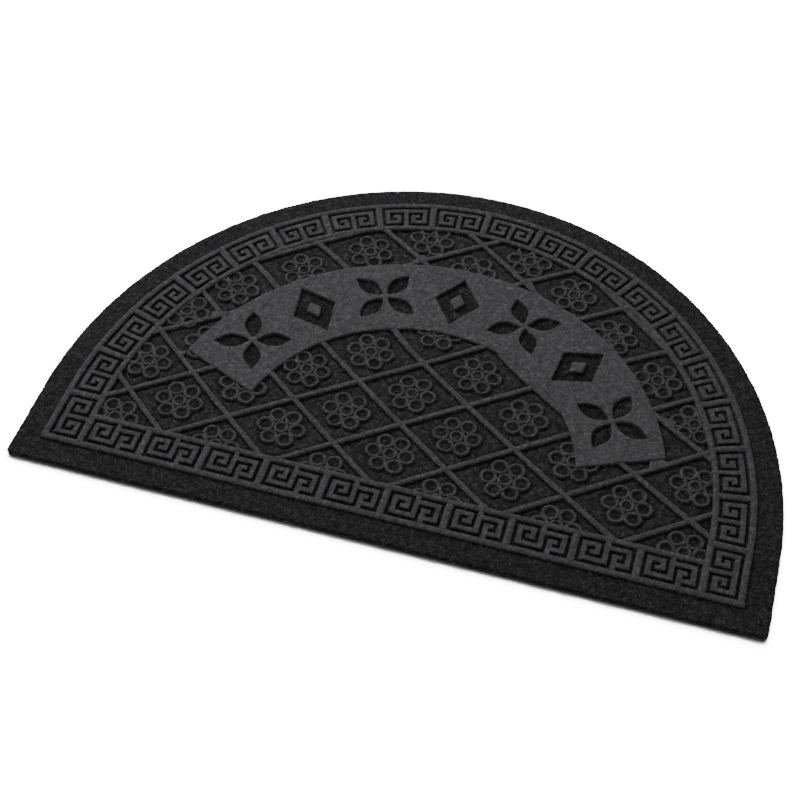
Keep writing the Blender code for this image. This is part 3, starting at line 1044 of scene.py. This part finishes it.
def strokes_group():
    """Short curved strokes of pale fibre that lie every way, as a mask with soft ends."""
    group, start, end = new_group(
        "fibre_strokes",
        [
            ("Place", "NodeSocketVector", (0, 0, 0)),
            ("Length", "NodeSocketFloat", 0.003),
            ("Width", "NodeSocketFloat", 0.0007),
            ("Amount", "NodeSocketFloat", 0.3),
        ],
        [("Mask", "NodeSocketFloat")],
    )
    place = start.outputs["Place"]
    warp = add_node(group, "ShaderNodeTexNoise", {"Vector": place, "Scale": 170, "Detail": 1})
    bend = (4.6 * MM, 4.6 * MM, 4.6 * MM)
    bent = vector_math(group, "MULTIPLY_ADD", warp.outputs["Color"], bend, place)
    by_length = math_node(group, "DIVIDE", 1.0, start.outputs["Length"])
    by_width = math_node(group, "DIVIDE", 1.0, start.outputs["Width"])
    stretch = add_node(group, "ShaderNodeCombineXYZ", (by_length, by_width, by_length)).outputs[0]
    strongest = 0.0
    for number, turn in enumerate((20, 65, 110, 155)):
        angle = math.radians(turn)
        turned = add_node(
            group, "ShaderNodeVectorRotate", {"Vector": bent, "Angle": angle}, rotation_type="Z_AXIS"
        ).outputs[0]
        away = (7.3 * number, 3.1 * number, 5.7 * number)
        placed = vector_math(group, "MULTIPLY_ADD", turned, stretch, away)
        cells = add_node(group, "ShaderNodeTexVoronoi", {"Vector": placed, "Scale": 1})
        split = add_node(group, "ShaderNodeSeparateColor", (cells.outputs["Color"],))
        chosen = math_node(group, "LESS_THAN", split.outputs[0], start.outputs["Amount"])
        core = map_range(group, cells.outputs["Distance"], 0.5, 0.15)
        bright = map_range(group, split.outputs[1], 0.0, 1.0, 0.2, 1.0)
        stroke = math_node(group, "MULTIPLY", math_node(group, "MULTIPLY", chosen, core), bright)
        strongest = math_node(group, "MAXIMUM", strongest, stroke)
    feed(group, end.inputs["Mask"], strongest)
    return group


def use_group(tree, group, **values):
    """Place a node group in a material with its own values."""
    return add_node(tree, "ShaderNodeGroup", values, node_tree=group)


def new_material(name, roughness, specular):
    """A material with its Principled shader and the piece's own coordinates."""
    material = bpy.data.materials.new(name)
    material.use_nodes = True
    tree = material.node_tree
    shader = tree.nodes["Principled BSDF"]
    shader.inputs["Roughness"].default_value = roughness
    shader.inputs["Specular IOR Level"].default_value = specular
    place = add_node(tree, "ShaderNodeTexCoord").outputs["Object"]
    return material, tree, shader, place


def add_bump(tree, shader, height, strength, distance):
    """Give a shader a fine relief by a Bump node."""
    inputs = {"Strength": strength, "Distance": distance, "Height": height}
    feed(tree, shader.inputs["Normal"], add_node(tree, "ShaderNodeBump", inputs).outputs["Normal"])


def pressed_fibre(relief, strokes):
    """Charcoal fibre: near black where it is pressed deep and mid grey on the raised parts; painted
    shade darker still.
    """
    material, tree, shader, place = new_material("pressed_fibre", 1.0, 0.08)
    felt = use_group(tree, relief, Place=place, Coarseness=1.0)
    fine = use_group(tree, strokes, Place=place, Length=4.0 * MM, Width=0.7 * MM, Amount=0.3)
    bold = use_group(tree, strokes, Place=place, Length=7.0 * MM, Width=1.0 * MM, Amount=0.26)
    height = add_node(tree, "ShaderNodeAttribute", attribute_name="raised").outputs["Fac"]
    ragged = map_range(tree, noise_node(tree, place, 700, 2), 0.3, 0.7, -0.09, 0.09)
    lit = map_range(tree, math_node(tree, "ADD", height, ragged), 0.42, 0.84)
    swollen = map_range(tree, height, 0.0, 0.3, 0.0, 0.3)
    tone = math_node(tree, "MAXIMUM", lit, swollen)
    # Tones below 0 are mixed toward near black: painted shade on the cut side, in the recesses and
    # in the bowls.
    painted_shade = map_range(tree, height, 0.0, -0.7)
    base = mix_colour(tree, tone, DEEP_FIBRE, RAISED_FIBRE)
    sided = mix_colour(tree, painted_shade, base, PAINTED_SHADE_FIBRE)

    # The fibre's tone is blotched everywhere, and mottled most on the low parts.
    shade = map_range(tree, noise_node(tree, place, 150, 5, 0.68), 0.3, 0.7, 0.72, 1.25)
    grain = map_range(tree, felt.outputs["Strands"], 0.0, 1.0, 0.72, 1.28)
    mottles = map_range(tree, noise_node(tree, place, 270, 3), 0.32, 0.68, 0.5, 1.4)
    rough = math_node(tree, "MULTIPLY", mottles, grain)
    calm = map_range(tree, tone, 0.15, 0.9, 1.0, 0.35)
    unevenness = math_node(tree, "MULTIPLY", math_node(tree, "SUBTRACT", rough, 1.0), calm)
    factor = math_node(tree, "MULTIPLY", shade, math_node(tree, "ADD", unevenness, 1.0))
    scaled = {0: sided, "Scale": factor}
    toned = add_node(tree, "ShaderNodeVectorMath", scaled, operation="SCALE").outputs[0]

    # Pale strokes lie over it, fewest in the deep parts, fewer where shade is painted and next to
    # none on the cut side.
    pale = math_node(tree, "MULTIPLY", fine.outputs["Mask"], 0.28)
    paler = math_node(tree, "MULTIPLY", bold.outputs["Mask"], 0.55)
    most = math_node(tree, "MAXIMUM", pale, paler)
    off_painted_shade = map_range(tree, painted_shade, 0.0, 1.0, 1.0, 0.06)
    reach = map_range(tree, tone, 0.0, 1.0, 0.5, 1.0)
    mask = math_node(tree, "MULTIPLY", math_node(tree, "MULTIPLY", most, reach), off_painted_shade)
    feed(tree, shader.inputs["Base Color"], mix_colour(tree, mask, toned, PALE_FIBRE))
    add_bump(tree, shader, felt.outputs["Height"], 0.6, 0.5 * MM)
    return material


def backing_rubber(relief):
    """Black rubber sheet with a dull, finely grained skin."""
    material, tree, shader, place = new_material("backing_rubber", 0.55, 0.3)
    grain = use_group(tree, relief, Place=place, Coarseness=0.4)
    cloud = noise_node(tree, place, 90, 3)
    colour = mix_colour(tree, cloud, (0.010, 0.010, 0.0105), (0.018, 0.018, 0.0185))
    feed(tree, shader.inputs["Base Color"], colour)
    feed(tree, shader.inputs["Roughness"], map_range(tree, cloud, 0.3, 0.7, 0.5, 0.7))
    add_bump(tree, shader, grain.outputs["Height"], 0.25, 0.2 * MM)
    return material


def loose_fibre(strokes):
    """Single loose fibres, each with its own grey."""
    material, tree, shader, place = new_material("loose_fibre", 0.9, 0.1)
    shade = add_node(tree, "ShaderNodeAttribute", attribute_name="shade").outputs["Fac"]
    bands = use_group(tree, strokes, Place=place, Length=2 * MM, Width=1 * MM, Amount=0.4)
    grey = mix_colour(tree, shade, (0.006, 0.006, 0.0063), (0.105, 0.104, 0.109))
    colour = mix_colour(tree, bands.outputs["Mask"], grey, (0.05, 0.05, 0.052))
    feed(tree, shader.inputs["Base Color"], colour)
    return material


def fibre_shape():
    """One short fibre: a thin three-sided spindle, bent at its middle."""
    bm = bmesh.new()
    bmesh.ops.create_uvsphere(bm, u_segments=3, v_segments=2, radius=1)
    bmesh.ops.rotate(bm, verts=bm.verts, matrix=Matrix.Rotation(math.pi / 2, 3, "Y"))
    half_length = 1.4 * MM
    half_thick = 0.13 * MM
    bend = Vector((0, 0.3 * MM, 0.35 * MM))
    bmesh.ops.scale(bm, verts=bm.verts, vec=(half_length, half_thick, half_thick))
    for vertex in bm.verts:
        if abs(vertex.co.x) < half_length / 2:
            vertex.co += bend
    bmesh.ops.recalc_face_normals(bm, faces=bm.faces)
    return loose_object(bm, "one_fibre")


def random_value(tree, seed, low=None, high=None):
    """Random numbers from 0 to 1, or random vectors between two limits."""
    kind = "FLOAT_VECTOR" if low else "FLOAT"
    node = add_node(tree, "FunctionNodeRandomValue", {"Seed": seed}, data_type=kind)
    limits = [socket for socket in node.inputs if socket.enabled and socket.type == "VECTOR"]
    for socket, limit in zip(limits, (low, high)):
        socket.default_value = limit
    return [socket for socket in node.outputs if socket.enabled][0]


def scatter_tree(name, ground, fibre, density, seed, pale):
    """Nodes that strew fibres over a surface, each turned and bent its own way."""
    tree = bpy.data.node_groups.new(name, "GeometryNodeTree")
    for way in ("INPUT", "OUTPUT"):
        tree.interface.new_socket("Geometry", in_out=way, socket_type="NodeSocketGeometry")
    surface = add_node(tree, "GeometryNodeObjectInfo", {"Object": ground}).outputs["Geometry"]
    spread = add_node(
        tree,
        "GeometryNodeDistributePointsOnFaces",
        {"Mesh": surface, "Density": density, "Seed": seed},
    )
    shade = math_node(tree, "POWER", random_value(tree, seed + 1), pale)
    shaded = add_node(
        tree,
        "GeometryNodeStoreNamedAttribute",
        {"Geometry": spread.outputs["Points"], "Name": "shade", "Value": shade},
        data_type="FLOAT",
    ).outputs["Geometry"]
    source = add_node(tree, "GeometryNodeObjectInfo", {"Object": fibre}).outputs["Geometry"]
    placed = add_node(
        tree,
        "GeometryNodeInstanceOnPoints",
        {
            "Points": shaded,
            "Instance": source,
            "Rotation": spread.outputs["Rotation"],
            "Scale": random_value(tree, seed + 2, (0.45, 0.3, 0.3), (1.5, 1.6, 1.2)),
        },
    ).outputs["Instances"]
    turn = random_value(tree, seed + 3, (-0.5, -0.45, 0), (0.5, 0.45, 2 * math.pi))
    turned = add_node(
        tree, "GeometryNodeRotateInstances", {"Instances": placed, "Rotation": turn}
    ).outputs["Instances"]
    real = add_node(tree, "GeometryNodeRealizeInstances", (turned,)).outputs["Geometry"]
    add_node(tree, "NodeGroupOutput", {"Geometry": real})
    return tree


def strew_fibres(name, ground, fibre, material, density, seed, pale):
    """A piece made of the loose fibres that lie on one surface."""
    carrier = bpy.data.objects.new(name + "_carrier", bpy.data.meshes.new(name + "_carrier"))
    bpy.context.scene.collection.objects.link(carrier)
    modifier = carrier.modifiers.new("strew", "NODES")
    modifier.node_group = scatter_tree(name, ground, fibre, density, seed, pale)
    bpy.context.view_layer.update()
    depsgraph = bpy.context.evaluated_depsgraph_get()
    mesh = bpy.data.meshes.new_from_object(carrier.evaluated_get(depsgraph))
    mesh.name = name
    bpy.data.objects.remove(carrier)
    mesh.materials.clear()
    mesh.materials.append(material)
    return ride_piece(mesh, name)


def top_of(piece, name, keep):
    """A hidden copy of part of a piece's surface, its faces in order of place, to strew over."""
    bm = bmesh.new()
    bm.from_mesh(piece.data)
    dropped = [face for face in bm.faces if not keep(face)]
    bmesh.ops.delete(bm, geom=dropped, context="FACES")
    ordered = sorted(bm.faces, key=lambda face: tuple(face.calc_center_median()))
    for number, face in enumerate(ordered):
        face.index = number
    bm.faces.sort()
    return loose_object(bm, name)


def loose_fibres(sheet, band, relief, material):
    """The loose fibres that stand out of the cut edge, the border, the floor and the relief."""
    fibre = fibre_shape()

    # Each row: name, the piece and its faces that they lie on, how many to the square metre, seed,
    # and the power of their shade, which makes them darker.
    lines_and_keys = ("line", "inner_line", "separator", "straight_key", "arch_key")
    grounds = (
        # The cut edge's fibres are kept near black by a high power: painted shade on the mat's side.
        ("edge_fuzz", sheet, is_edge, 1.4e6, 11, 8.0),
        ("border_fibres", sheet, is_border, 4.5e5, 21, 1.6),
        ("floor_fibres", sheet, is_floor, 1.1e5, 31, 1.3),
        ("band_fibres", band, is_crown, 1.6e5, 41, 0.6),
        *(
            (name + "_fibres", relief[number], is_crown, 4.0e5, 51 + 10 * number, 0.7)
            for number, name in enumerate(lines_and_keys)
        ),
        ("rib_fibres", relief[5], is_crown, 3.6e5, 101, 0.7),
        ("flower_fibres", relief[6], is_crown, 1.1e5, 111, 0.9),
    )
    made = []
    for name, piece, keep, density, seed, pale in grounds:
        ground = top_of(piece, name + "_ground", keep)
        made.append(strew_fibres(name, ground, fibre, material, density, seed, pale))
        bpy.data.objects.remove(ground)
    bpy.data.objects.remove(fibre)
    return made


def is_crown(face):
    """Whether a face of the relief looks up."""
    return face.normal.z > LOOKS_UP


def edge_margin(face):
    """How far a face's middle lies from the mat's edge, roughly."""
    middle = face.calc_center_median()
    x = middle.x - MIDDLE_X
    y = middle.y - EDGE_Y
    return depth_in_field(x, y) + INNER_LINE


def is_edge(face):
    """Whether a face of the fibre sheet is on its cut edge."""
    return edge_margin(face) < CUT_EDGE and face.normal.z > -0.5 and len(face.verts) < 5


def is_border(face):
    """Whether a face of the fibre sheet is on its low border."""
    return CUT_EDGE <= edge_margin(face) < OUTER_LINE - LINE_WIDTH / 2 and is_crown(face)


def is_floor(face):
    """Whether a face of the fibre sheet lies inside the outer frame line."""
    return edge_margin(face) >= OUTER_LINE and is_crown(face)


def camera():
    """The photograph's camera: a little to the right of the mat's middle, looking down at it."""
    azimuth = math.radians(14.98)
    elevation = math.radians(49.45)
    roll = math.radians(1.44)
    distance = 1.2471
    film_width = 36
    focal_length = 1.905 * film_width
    target = Vector((MIDDLE_X - 0.0183, EDGE_Y + 0.1455, 0))
    back = Vector((
        math.sin(azimuth) * math.cos(elevation),
        -math.cos(azimuth) * math.cos(elevation),
        math.sin(elevation),
    ))
    right = Vector((0, 0, 1)).cross(back).normalized()
    up = back.cross(right)
    rolled_right = right * math.cos(roll) + up * math.sin(roll)
    rolled_up = up * math.cos(roll) - right * math.sin(roll)
    data = bpy.data.cameras.new("camera")
    data.sensor_width = film_width
    data.lens = focal_length
    data.clip_start = 0.05
    eye = bpy.data.objects.new("camera", data)
    bpy.context.scene.collection.objects.link(eye)
    turned = Matrix((rolled_right, rolled_up, back)).transposed().to_4x4()
    eye.matrix_world = Matrix.Translation(target + back * distance) @ turned
    bpy.context.scene.camera = eye


def area_light(name, place, size, power):
    """A soft square light that points at the mat's middle."""
    data = bpy.data.lights.new(name, "AREA")
    data.shape = "SQUARE"
    data.size = size
    data.energy = power
    lamp = bpy.data.objects.new(name, data)
    bpy.context.scene.collection.objects.link(lamp)
    lamp.location = place
    lamp.rotation_euler = (-Vector(place)).to_track_quat("-Z", "Y").to_euler()
    return lamp


def studio():
    """A pale floor, a white surround and soft light from above and behind."""
    bm = bmesh.new()
    bmesh.ops.create_grid(bm, x_segments=8, y_segments=8, size=6)
    bmesh.ops.translate(bm, verts=bm.verts, vec=(0, 0, RUBBER_LOW.z - 0.2 * MM))
    floor = loose_object(bm, "floor")
    bpy.context.scene.collection.objects.link(floor)
    material, tree, shader, place = new_material("pale_floor", 0.9, 0.0)
    cloud = noise_node(tree, place, 2, 1)
    pale = mix_colour(tree, cloud, (0.92, 0.92, 0.92), (0.94, 0.94, 0.94))
    seen = add_node(tree, "ShaderNodeLightPath").outputs["Is Camera Ray"]
    colour = mix_colour(tree, seen, (0.28, 0.28, 0.28), pale)
    feed(tree, shader.inputs["Base Color"], colour)
    floor.data.materials.append(material)
    world = bpy.data.worlds.new("surround")
    world.use_nodes = True
    glow = world.node_tree.nodes["Background"]
    glow.inputs["Color"].default_value = (1, 1, 1, 1)
    glow.inputs["Strength"].default_value = 0.5
    bpy.context.scene.world = world
    area_light("back_light", (-1.12, 1.15, 1.2), 1.1, 57)
    floor_light = area_light("floor_light", (-0.8, 3.7, 4.7), 5.3, 10500)
    only_floor = bpy.data.collections.new("only_floor")
    only_floor.objects.link(floor)
    floor_light.light_linking.receiver_collection = only_floor


def main():
    """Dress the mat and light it."""
    noise.seed_set(UNEVENNESS_SEED)
    relief = felt_relief_group()
    strokes = strokes_group()
    fibre = pressed_fibre(relief, strokes)
    rubber = backing_rubber(relief)
    sheet = fibre_sheet(fibre)
    backing = rubber_sheet(rubber)
    band = arched_band(fibre)
    relief_pieces = [*frame_lines(fibre), *key_lands(fibre), lattice_ribs(fibre), flowers(fibre)]
    fibres = loose_fibres(sheet, band, relief_pieces, loose_fibre(strokes))
    camera()
    studio()


main()
